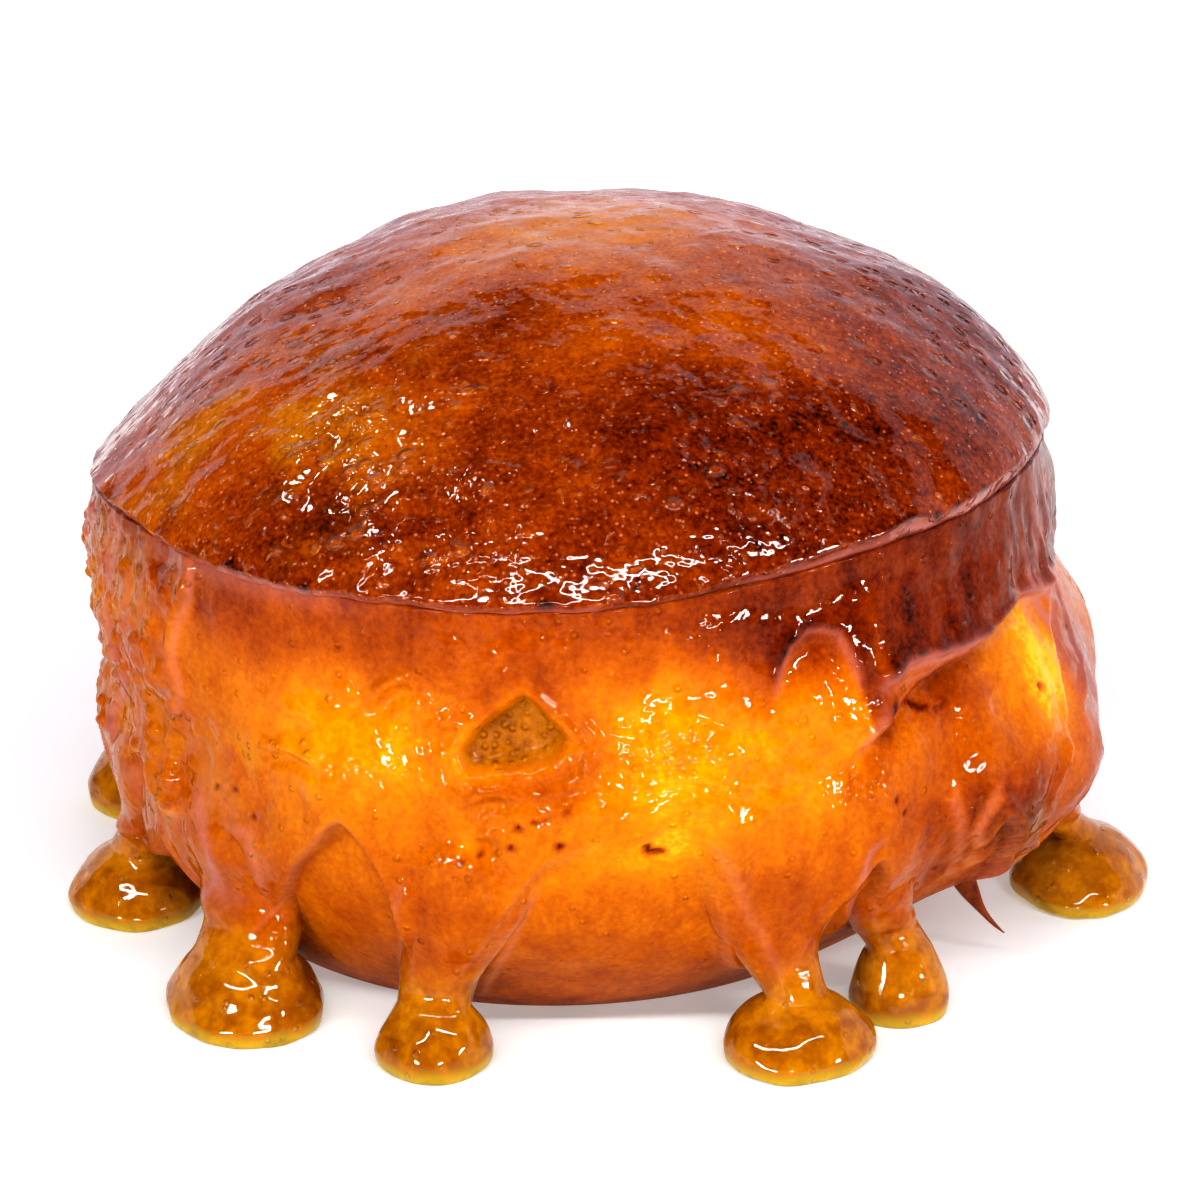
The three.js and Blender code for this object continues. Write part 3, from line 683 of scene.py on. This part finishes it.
def make_cap(material):
    azimuth = columns_of(CAP_COLUMNS, FINER_IN_FRONT)[None, :]
    a = np.radians(azimuth)
    low = rim_height(azimuth)
    place = at(azimuth, RIM_RADIUS, 0.0)
    edge_noise = ripples(place, 4.0)
    jag = 0.3 * ripples(place, 2.2)
    edge = low + table(EDGE_RISE, azimuth) + jag + 0.4 * swells(place, 8.0)
    bevel = table(BEVEL, azimuth) * (1 + 0.3 * edge_noise)
    kinks = np.minimum(0.15 * ripples(place, 6.5) + 0.2 * streaks(place, 3.0), 0.08)
    flush = bell(turn(azimuth + 85), 32)
    outer = RIM_RADIUS + side_form(azimuth, low) + (RIM_LIP + kinks) * (1 - 0.85 * flush)
    outer += 0.12 * edge_noise
    foot = np.minimum(edge - 0.35 - bevel, low - 0.5)
    section = [(outer - 6, foot - 0.6), (outer - 2.0, foot - 0.4),
               (outer - 1.1, foot - 0.1), (outer - 0.85, foot + 0.1),
               (outer - 0.5, lerp(foot, edge, 0.45)), (outer - 0.2, edge - 0.35),
               (outer - 0.06, edge - 0.12)]
    lip = [at(azimuth, radius, height, RIM_SHIFT, RIM_SHIFT_BACK) for radius, height in section]
    climb = 90 * np.linspace(0, 1, CAP_ROWS, endpoint=False)[:, None] ** 1.2
    up, inward = np.sin(np.radians(climb)), np.sin(np.radians(climb)) ** 2
    draw_in = CAP_DRAW_IN + 0.05 * np.sin(a) + 0.18 * np.cos(a)
    rise = CAP_RISE - 0.29 * np.sin(a) - 0.07 * np.cos(a)
    radius = outer * np.cos(np.radians(climb)) ** draw_in
    swell = 0.25 * np.sin(2 * a + climb * 0.11) * np.sin(2 * np.radians(climb))
    height = lerp(low, TOTAL_HEIGHT, up ** rise) + swell
    over = (edge - low) * np.exp(-np.maximum(height - low, 0) / 2.5)
    outward = 1 - inward
    dome = at(azimuth + 0 * climb, radius, height + over, RIM_SHIFT * outward, RIM_SHIFT_BACK * outward)
    dome[..., 2] += cap_relief(dome, climb)
    rings = np.concatenate(lip + [dome])
    light, gold = cap_light(dome), cap_gold(dome)
    for speck_azimuth, size in RIM_SPECKS:
        away = np.hypot(turn(azimuth - speck_azimuth) * WALL_MM, (height + over - edge))
        light = light * (1 - 0.95 * bell(away, size))
    rows = len(lip)
    edge_light = np.concatenate([light[:1] * 1.1 for _ in range(rows)])
    # The lip's bevel rows are painted pink: painted sheen of reflected light along the rim.
    cloud = np.concatenate([np.full_like(azimuth, value) for value in (0, 0, 0.2, 0.5, 1, 0.5, 0)])
    cloud = cloud * np.clip(0.55 + bevel * 0.3 + 0.3 * edge_noise, 0, 1)
    pitted = cap_patch(dome, 30, -6, 15) + 0.8 * cap_patch(dome, -32, -4, 14) + 0.12
    pitted = np.clip(pitted, 0, 1)
    # Painted pink sheen on the cap's left shoulder.
    sheen_haze = 0.3 * cap_patch(dome, -34, 0, 16)
    paint = {"light": np.concatenate([edge_light, light]), "gold": stretched(gold, rows, 0),
             "cloud": np.concatenate([cloud, sheen_haze]), "pitted": stretched(pitted, rows, 0)}
    paint["gloss"] = np.ones_like(paint["light"])
    clumps = smoothstep(-0.1, 0.5, swells(dome, 5.0) + 0.4 * ripples(dome, 2.0))
    along_front = bell(dome[..., 1] + 36, 5) * bell(dome[..., 0] - 4, 22)
    right_glitter = 0.9 * cap_patch(dome, 11, -31, 7)
    left_glitter = 0.8 * cap_patch(dome, -18, -26, 8)
    glitter = (0.15 + clumps) * (along_front + right_glitter + left_glitter)
    paint["crinkled"] = stretched(np.clip(0.1 + glitter, 0, 1), rows, 0)
    under = (RIM_SHIFT, RIM_SHIFT_BACK, RIM_HEIGHT - 2.6)
    top = dome[-1].mean(axis=0)
    piece = skin("cap", rings, under, top, paint)
    finish_piece(piece, material)


def make_run(run, seed, material):
    name, azimuth, top, fan, neck, (pool_azimuth, reach, pool_width, pool_depth, pool_height) = run
    low = pool_height * np.sin(np.linspace(0, math.pi / 2, RUN_ROWS // 2, endpoint=False))
    height = np.concatenate([low, np.linspace(pool_height, top - 0.3, RUN_ROWS - len(low))])[:, None]
    hangs = 1 - smoothstep(pool_height - 1, LEAVE_HEIGHT, height)
    proud = RUN_PROUD * smoothstep(0, RUN_FADE, top - height) - 0.6
    on_side = side_point(np.full_like(height, azimuth), height, proud - RUN_ROOT / 2)
    over_pool = at(np.full_like(height, pool_azimuth), reach, height)
    middle = lerp(on_side, over_pool, hangs[..., None])
    taper = np.sqrt(np.clip((top - height) / RUN_FADE, 0.04, 1))
    strand = lerp(neck, fan, smoothstep(pool_height, LEAVE_HEIGHT + 5, height)) * taper
    root = lerp(RUN_ROOT * taper, neck * STRAND_DEPTH, hangs)
    bulge = np.sqrt(np.maximum(0, 1 - (height / pool_height) ** 2))
    foot = lerp(POOL_FOOT, 1, np.clip(height / (0.25 * pool_height), 0, 1) ** 0.5)
    pool_across, pool_deep = pool_width * bulge * foot, pool_depth * bulge * foot
    across = (strand ** POOL_BLEND + pool_across ** POOL_BLEND) ** (1 / POOL_BLEND) / 2
    deep = (root ** POOL_BLEND + pool_deep ** POOL_BLEND) ** (1 / POOL_BLEND) / 2
    facing = np.radians(lerp(azimuth, pool_azimuth, hangs))
    around = np.radians(columns_of(RUN_COLUMNS))[None, :]
    side, out = across * np.sin(around), deep * np.cos(around)
    drift = Swells(seed)
    ring = np.stack([side * np.cos(facing) + out * np.sin(facing),
                     side * np.sin(facing) - out * np.cos(facing), 0 * side], axis=-1)
    points = middle + ring
    uneven = drift(points, 6.0) * 0.09 + drift(points, 2.5) * 0.03
    points = middle + ring * (1 + uneven[..., None])
    points[..., 2] += 0.25 * drift(points, 3.5) * smoothstep(0.6, 2.5, height)
    low_point, high_point = points[0].mean(axis=0), points[-1].mean(axis=0) + (0, 0, 0.1)
    x, y, z = np.moveaxis(points, -1, 0)
    round_azimuth = np.degrees(np.arctan2(x - side_shift(z), side_back(z) - y))
    notes = side_detail(round_azimuth, z)[1]
    paint = side_paint(round_azimuth, z, notes)
    paint["light"] = lerp(paint["light"], 0.5, 0.5 * (1 - smoothstep(10, 16, z)))
    paint["gold"] = np.maximum(paint["gold"], 0.5 * (1 - smoothstep(5, 9, z)))
    paint["gloss"] = np.ones_like(z)
    piece = skin("run_" + name, points, low_point, high_point, paint)
    finish_piece(piece, material)


def make_spike(material):
    """The thin thorn of caramel under the skirt on the right."""
    along = np.linspace(0, 1, SPIKE_RINGS)[:, None]
    start, bend, tip = np.array(SPIKE)
    middle = (start * (1 - along) ** 2 + 2 * bend * along * (1 - along) + tip * along ** 2)[:, None, :]
    around = np.radians(columns_of(SPIKE_SIDES))[None, :]
    radius = lerp(SPIKE_RADIUS, SPIKE_TIP_RADIUS, along ** 0.7)
    radius = radius * (1 + 0.15 * np.sin(around * 2 + along * 7))
    across, deep = radius * np.cos(around), radius * np.sin(around)
    ring = np.stack([across, 0.7 * deep, 0.25 * across], axis=-1)
    points = (middle + ring)[::-1]
    still = np.ones(points.shape[:2])
    shares = {"light": 0.3, "gold": 0.2, "cloud": 0.1, "gloss": 1.0, "crinkled": 0.2}
    paint = {key: share * still for key, share in shares.items()}
    piece = skin("spike", points, tip, start, paint)
    finish_piece(piece, material)


# ---- shader maths ----

class Wire:
    """A shader socket that takes part in plain expressions."""

    def __init__(self, tree, socket):
        self.tree, self.socket = tree, socket

    def math(self, operation, *others):
        return self.tree.node("ShaderNodeMath", {"operation": operation}, {
            index: value for index, value in enumerate((self, *others))})

    def __add__(self, other):
        return self.math("ADD", other)

    def __sub__(self, other):
        return self.math("SUBTRACT", other)

    def __mul__(self, other):
        return self.math("MULTIPLY", other)

    def __rsub__(self, other):
        return self.tree.node("ShaderNodeMath", {"operation": "SUBTRACT"}, {0: other, 1: self})

    __radd__ = __add__
    __rmul__ = __mul__


class Recipe:
    """One material's node tree."""

    def __init__(self, name):
        self.material = bpy.data.materials.new(name)
        self.material.use_nodes = True
        self.tree = self.material.node_tree
        self.tree.nodes.clear()

    @classmethod
    def of_tree(cls, tree):
        recipe = cls.__new__(cls)
        recipe.tree = tree
        tree.nodes.clear()
        return recipe

    def node(self, kind, settings=None, sockets=None, output=0):
        made = self.tree.nodes.new(kind)
        for key, value in (settings or {}).items():
            if key == "stops":
                while len(made.color_ramp.elements) < len(value):
                    made.color_ramp.elements.new(0.5)
                for element, (place, colour) in zip(made.color_ramp.elements, value):
                    element.position = place
                    element.color = (*colour, 1)
            else:
                setattr(made, key, value)
        for key, value in (sockets or {}).items():
            if isinstance(value, Wire):
                self.tree.links.new(value.socket, made.inputs[key])
            else:
                made.inputs[key].default_value = value
        return Wire(self, made.outputs[output])

    def range(self, value, low, high):
        """0 below low, 1 above high, with a smooth step between."""
        return self.node("ShaderNodeMapRange", {"interpolation_type": "SMOOTHSTEP"}, {
            "Value": value, "From Min": low, "From Max": high})

    def mix(self, factor, first, second):
        return self.node("ShaderNodeMix", {"data_type": "RGBA"}, {
            "Factor": factor, 6: first, 7: second}, output=2)

    def mix_shaders(self, factor, first, second):
        return self.node("ShaderNodeMixShader", {}, {0: factor, 1: first, 2: second})

    def coat(self, sockets):
        return self.node("ShaderNodeBsdfPrincipled", {"distribution": "GGX"}, sockets)

    def noise(self, place, scale, detail=3.0, roughness=0.55):
        return self.node("ShaderNodeTexNoise", {}, {
            "Vector": place, "Scale": scale, "Detail": detail, "Roughness": roughness})

    def cells(self, place, scale):
        return self.node("ShaderNodeTexVoronoi", {}, {"Vector": place, "Scale": scale})

    def place(self):
        """Position in millimetres."""
        where = self.node("ShaderNodeTexCoord", output=3)
        return self.node("ShaderNodeVectorMath", {"operation": "SCALE"}, {0: where, "Scale": 1 / MM})

    def paint(self, name):
        """A value that the mesh holds for each of its points."""
        return self.node("ShaderNodeAttribute", {"attribute_name": name}, output=2)

    def stretch(self, vector, x, y, z):
        return self.node("ShaderNodeVectorMath", {"operation": "MULTIPLY"}, {0: vector, 1: (x, y, z)})

    def bump(self, height, depth):
        """Height from 0 to 1 as relief of that depth in millimetres."""
        return self.node("ShaderNodeBump", {}, {
            "Height": height, "Distance": depth * MM, "Strength": 1.0})

    def output(self, shader):
        end = self.tree.nodes.new("ShaderNodeOutputMaterial")
        self.tree.links.new(shader.socket, end.inputs["Surface"])
        return self.material


def srgb(red, green, blue):
    """A colour as seen, 0 to 255, in linear light."""
    def linear(part):
        part = part / 255
        return part / 12.92 if part <= 0.04045 else ((part + 0.055) / 1.055) ** 2.4
    return (linear(red), linear(green), linear(blue), 1.0)


# ---- materials ----

# Caramel's colours, from burnt to pale yellow, by how light it is
CARAMEL = [(0.0, (34, 10, 1)), (0.12, (104, 32, 1)), (0.26, (138, 54, 1)), (0.42, (174, 80, 1)),
           (0.56, (196, 100, 1)), (0.68, (213, 119, 1)), (0.8, (230, 138, 1)), (0.92, (242, 162, 4)),
           (1.0, (250, 194, 36))]
# Pale pink for painted sheen: lilac reflected light painted into the colour.
SHEEN_PINK = srgb(196, 124, 112)
# Pale pink of the cap's tiny bubbles: partly their own paler colour, partly a painted glint.
BUBBLE_GLINT_PINK = srgb(232, 160, 130)
OLIVE_BROWN, OLIVE_GOLD = srgb(110, 52, 4), srgb(214, 138, 14)
# The last amber, bright yellow at a pool's foot, is a painted caustic: light focused through the pool.
AMBER_DEEP, AMBER_PALE, AMBER_CAUSTIC = srgb(212, 118, 2), srgb(238, 156, 8), srgb(252, 200, 30)
AMBER_CLEAR = (0.93, 0.56, 0.06, 1.0)
# Roughness of the glassy coat, and how much more of it there is where it is seen edge on
SMOOTH, ROUGHER_AT_RIM = 0.06, 0.3
# Index of refraction: more makes the caramel reflect more
CAP_GLOSS, SIDE_GLOSS, POOL_GLOSS = 1.42, 1.22, 1.42


def crust_shader(recipe, colour, relief, index):
    """Hard caramel over dough: matte where the mesh's gloss is 0, and glassy where it is 1."""
    rim = recipe.range(recipe.node("ShaderNodeLayerWeight", {}, {"Blend": 0.5}, output=1), 0.8, 1.0)
    matte = recipe.coat({
        "Base Color": colour, "Roughness": 0.6, "Specular IOR Level": 0.1, "Normal": relief})
    roughness = rim * ROUGHER_AT_RIM + SMOOTH
    glassy = recipe.coat({
        "Base Color": colour, "Roughness": roughness, "IOR": index, "Normal": relief})
    return recipe.mix_shaders(recipe.paint("gloss"), matte, glassy)


def caramel_colour(recipe, light_shift):
    """The colour by the mesh's own light, gold and painted pink sheen values, shifted lighter or darker.
    """
    light = recipe.paint("light") + light_shift
    stops = [(place, srgb(*colour)[:3]) for place, colour in CARAMEL]
    colour = recipe.node("ShaderNodeValToRGB", {"stops": stops}, {"Fac": light})
    gold = recipe.mix(recipe.range(light, 0.05, 0.6), OLIVE_BROWN, OLIVE_GOLD)
    colour = recipe.mix(recipe.paint("gold") * 0.8, colour, gold)
    # Mix in the painted pink sheen.
    return recipe.mix(recipe.paint("cloud") * 0.8, colour, SHEEN_PINK)


def scattered(recipe, where, scale):
    """The distance from the middles of dots about 1 / scale apart, and a random number for each dot."""
    away = recipe.cells(where, scale)
    colour = Wire(recipe, away.socket.node.outputs["Color"])
    return away, recipe.node("ShaderNodeSeparateColor", {}, {0: colour}, output=1)


def dots(recipe, where, scale, low, high):
    """Round dots about 1 / scale apart, and a random number for each."""
    away, chance = scattered(recipe, where, scale)
    return 1 - recipe.range(away, low, high), chance


def cap_material():
    recipe = Recipe("cap caramel")
    where = recipe.place()
    mottle = recipe.noise(where, 0.5, 3.0, 0.7)
    grain = recipe.noise(where, 2.4, 1.0, 0.65)
    streak = recipe.noise(recipe.stretch(where, 0.22, 1.0, 0.22), 1.0, 2.0, 0.6)
    slanted = recipe.stretch(where, 0.8, 1.1, 1.0)
    spot, spot_chance = dots(recipe, slanted, 0.6, 0.16, 0.42)
    pit = spot * recipe.range(spot_chance + recipe.paint("pitted"), 1.12, 1.3)
    blistered = recipe.paint("gold") * 0.6 + recipe.paint("crinkled") * 0.4
    blister = spot * recipe.range(blistered - spot_chance, -0.05, 0.08)
    fizz, fizz_chance = dots(recipe, where, 2.0, 0.12, 0.36)
    fizz = fizz * recipe.range(fizz_chance, 0.5, 0.9)
    bead = recipe.range(recipe.noise(where, 1.3, 0.0), 0.7, 0.82)
    shift = (mottle - 0.5) * 0.36 + (grain - 0.5) * 0.45 + (streak - 0.5) * 0.2
    # Beads, blisters and tiny bubbles are painted lighter, the tiniest pale pink: partly paler caramel,
    # partly painted glints. Pits are painted a little darker: painted shade.
    shift = shift - pit * 0.05 + bead * 0.14 + fizz * 0.16 + blister * 0.14
    colour = caramel_colour(recipe, shift)
    colour = recipe.mix(fizz * fizz_chance * 0.35, colour, BUBBLE_GLINT_PINK)
    ripple = recipe.noise(where, 0.45, 1.0, 0.4)
    crinkle = recipe.noise(where, 0.95, 1.0, 0.4)
    crinkle = crinkle * (recipe.paint("crinkled") * 0.45 + 0.03)
    height = ripple * 0.2 + crinkle + bead * 0.22 - pit * 0.5 + blister * 0.5
    relief = recipe.bump(height, 0.8)
    return recipe.output(crust_shader(recipe, colour, relief, CAP_GLOSS))


def wall_colour(recipe, where):
    """The wall's colour, and the ripples of its wet look, broken up by small bubbles."""
    flow = recipe.noise(recipe.stretch(where, 0.5, 0.5, 0.12), 1.0, 2.0, 0.6)
    mottle = recipe.noise(where, 0.35, 3.0, 0.65)
    grain = recipe.noise(where, 2.0, 2.0, 0.7)
    squiggle = recipe.noise(where, 0.45, 1.0, 0.4)
    crinkle = recipe.noise(where, 1.0, 1.0, 0.4) * (recipe.paint("crinkled") * 0.4 + 0.03)
    away, chance = scattered(recipe, where, 1.1)
    bubble = 1 - recipe.range(away, 0.05, 0.42)
    bubble = bubble * recipe.range(chance + recipe.paint("gold") * 0.6, 0.87, 0.93)
    ring = (1 - recipe.range(away, 0.3, 0.5) - bubble) * recipe.paint("gold")
    shift = (mottle - 0.5) * 0.34 + (grain - 0.5) * 0.36 + (flow - 0.5) * 0.26
    shift = shift + bubble * 0.1 - ring * 0.06
    relief = recipe.bump(squiggle * 0.2 + crinkle + bubble * 0.25, 0.9)
    return caramel_colour(recipe, shift), relief


def side_material():
    recipe = Recipe("side caramel")
    colour, relief = wall_colour(recipe, recipe.place())
    return recipe.output(crust_shader(recipe, colour, relief, SIDE_GLOSS))


def run_material():
    """Clear amber in the pools, thickening to the wall's own caramel above them."""
    recipe = Recipe("run caramel")
    where = recipe.place()
    colour, relief = wall_colour(recipe, where)
    height = recipe.node("ShaderNodeSeparateXYZ", {}, {0: where}, output=2)
    waver = recipe.noise(where, 0.3, 1.0)
    swirl = recipe.noise(where, 0.5, 3.0, 0.65)
    melt = recipe.range(height + (waver - 0.5) * 5, 4.5, 10.0)
    amber = recipe.mix(recipe.range(swirl, 0.25, 0.75), AMBER_DEEP, AMBER_PALE)
    # Up to about 1.5 mm above the floor a pool is painted bright yellow: a painted caustic of light
    # focused through it.
    foot = 1 - recipe.range(height + (swirl - 0.5) * 2, 0.5, 1.5)
    amber = recipe.mix(foot, amber, AMBER_CAUSTIC)
    gloss = recipe.noise(where, 0.35, 1.0, 0.5)
    bubble, chance = dots(recipe, where, 0.9, 0.08, 0.3)
    bubble = bubble * recipe.range(chance, 0.72, 0.76)
    smooth = recipe.bump(gloss * 0.6 + bubble * 0.3, 0.5)
    thick = crust_shader(recipe, colour, relief, SIDE_GLOSS)
    cloudy = crust_shader(recipe, amber, smooth, POOL_GLOSS)
    clear = recipe.coat({
        "Base Color": AMBER_CLEAR,
        "Roughness": 0.02,
        "IOR": 1.45,
        "Transmission Weight": 1.0,
        "Normal": smooth,
    })
    milky = recipe.range(swirl, 0.3, 0.7) * 0.25 + 0.5
    pool = recipe.mix_shaders(milky, clear, cloudy)
    return recipe.output(recipe.mix_shaders(melt, pool, thick))


# The floor glows more away from the doughnut: how much, and between which distances in millimetres
FLOOR_GLOW_NEAR, FLOOR_GLOW_FAR = 0.25, 0.95
FLOOR_GLOW_FROM, FLOOR_GLOW_TO = 60.0, 400.0


def floor_material():
    recipe = Recipe("pale floor")
    where = recipe.place()
    away = recipe.node("ShaderNodeVectorMath", {"operation": "LENGTH"}, {0: where}, output=1)
    far = recipe.range(away, FLOOR_GLOW_FROM, FLOOR_GLOW_TO)
    glow = FLOOR_GLOW_NEAR + far * (FLOOR_GLOW_FAR - FLOOR_GLOW_NEAR)
    shade = recipe.node("ShaderNodeBsdfPrincipled", {}, {
        "Base Color": (0.9, 0.9, 0.9, 1.0), "Roughness": 0.7, "Specular IOR Level": 0.1,
        "Emission Color": recipe.mix(glow, (0, 0, 0, 1), (1, 1, 1, 1)), "Emission Strength": 1.0})
    return recipe.output(shade)


# ---- camera, floor and light ----

CAMERA_BACK, CAMERA_UP, AIM_UP = 0.240, 0.110, 0.024
LENS, SENSOR_WIDTH = 88.0, 36.0
FLOOR_HALF, FLOOR_LOW = 4.0, -0.02 * MM


def aim(thing, target):
    thing.rotation_euler = (Vector(target) - thing.location).to_track_quat("-Z", "Y").to_euler()


def add_camera():
    camera = add_object("camera", bpy.data.cameras.new("camera"))
    camera.data.lens = LENS
    camera.data.sensor_width = SENSOR_WIDTH
    camera.data.clip_start = 0.01
    camera.location = (0, -CAMERA_BACK, CAMERA_UP)
    aim(camera, (0, 0, AIM_UP))
    bpy.context.scene.camera = camera


def add_floor():
    mesh = bpy.data.meshes.new("floor")
    signs = [(-1, -1), (1, -1), (1, 1), (-1, 1)]
    corners = [(FLOOR_HALF * x, FLOOR_HALF * y, FLOOR_LOW) for x, y in signs]
    mesh.from_pydata(corners, [], [(0, 1, 2, 3)])
    floor = add_object("floor", mesh)
    material = floor_material()
    material.cycles.emission_sampling = "NONE"
    mesh.materials.append(material)


# name, azimuth, elevation, distance, width, height, power, whether it makes only glints
PANELS = [
    ("key strip", 0, 50, 0.55, 0.8, 0.02, 2.2, False),
    ("left window", -36, 10, 1.0, 0.2, 0.06, 1.3, False),
    ("front window", 10, 9, 1.0, 0.25, 0.035, 1.0, False),
    ("right window", 54, 10, 1.0, 0.15, 0.05, 0.9, False),
    ("left lamp", -37, 11, 0.99, 0.2, 0.05, 2.4, True),
    ("front lamp", 10, 10, 0.99, 0.25, 0.03, 1.8, True),
    ("right lamp", 54, 11, 0.99, 0.15, 0.04, 1.8, True),
    ("high lamp", -100, 60, 0.6, 0.1, 0.03, 0.3, True),
]
PANELS_AIM_UP = 0.03


def add_panel(name, azimuth, elevation, distance, width, height, power, only_glints):
    """A rectangular light aimed at the doughnut.

    One that makes only glints leaves matte surfaces unlit and casts no shadow.
    """
    light = add_object(name, bpy.data.lights.new(name, "AREA"))
    light.data.shape = "RECTANGLE"
    light.data.size = width
    light.data.size_y = height
    light.data.energy = power
    light.visible_diffuse = not only_glints
    light.data.use_shadow = not only_glints
    a, e = math.radians(azimuth), math.radians(elevation)
    level = distance * math.cos(e)
    light.location = (level * math.sin(a), -level * math.cos(a), distance * math.sin(e))
    aim(light, (0, 0, PANELS_AIM_UP))


# The studio's white cloth stands behind the doughnut and leans over it from the right:
# its upper edge is the plane elevation tangent = CLOTH_BACK * back + CLOTH_RIGHT * right.
CLOTH_BACK, CLOTH_RIGHT = 1.54, 0.8
CLOTH_LIGHT = (0.8, 0.72, 0.84, 1.0)
# How softly the cloth's edge and the low horizon fade, and how bright the horizon is beside the cloth
CLOTH_FADE, HORIZON_FADE, HORIZON_SHARE = (-0.02, 0.05), (0.03, 0.14), 0.25
DARK_ROOM = (0.012, 0.012, 0.014, 1.0)


def add_world():
    world = bpy.data.worlds.new("studio")
    bpy.context.scene.world = world
    world.use_nodes = True
    recipe = Recipe.of_tree(world.node_tree)
    direction = recipe.node("ShaderNodeTexCoord", output=0)
    right, back, up = [recipe.node("ShaderNodeSeparateXYZ", {}, {0: direction}, output=axis)
                       for axis in range(3)]
    below_edge = back * CLOTH_BACK + right * CLOTH_RIGHT - up
    cloth = recipe.range(below_edge, *CLOTH_FADE)
    horizon = (1 - recipe.range(up, *HORIZON_FADE)) * HORIZON_SHARE
    lit = cloth.math("MAXIMUM", horizon)
    colour = recipe.mix(lit, DARK_ROOM, CLOTH_LIGHT)
    background = recipe.node("ShaderNodeBackground", {}, {"Color": colour, "Strength": 1.0})
    end = world.node_tree.nodes.new("ShaderNodeOutputWorld")
    world.node_tree.links.new(background.socket, end.inputs["Surface"])


add_camera()
add_floor()
add_world()
for panel in PANELS:
    add_panel(*panel)

run_finish = run_material()
side_finish = side_material()
make_side(side_finish)
make_spike(side_finish)
make_cap(cap_material())
for number, run in enumerate(RUNS):
    make_run(run, FIRST_RUN_SEED + number, run_finish)

# Few bounces and no caustics, so that the final render stays under five minutes
cycles = bpy.context.scene.cycles
cycles.max_bounces = 4
cycles.caustics_reflective = False
cycles.caustics_refractive = False
cycles.light_sampling_threshold = 0.05
cycles.diffuse_bounces = 1
cycles.glossy_bounces = 1
cycles.transmission_bounces = 3
bpy.context.scene.view_settings.view_transform = "Standard"
bpy.context.scene.view_settings.look = "High Contrast"
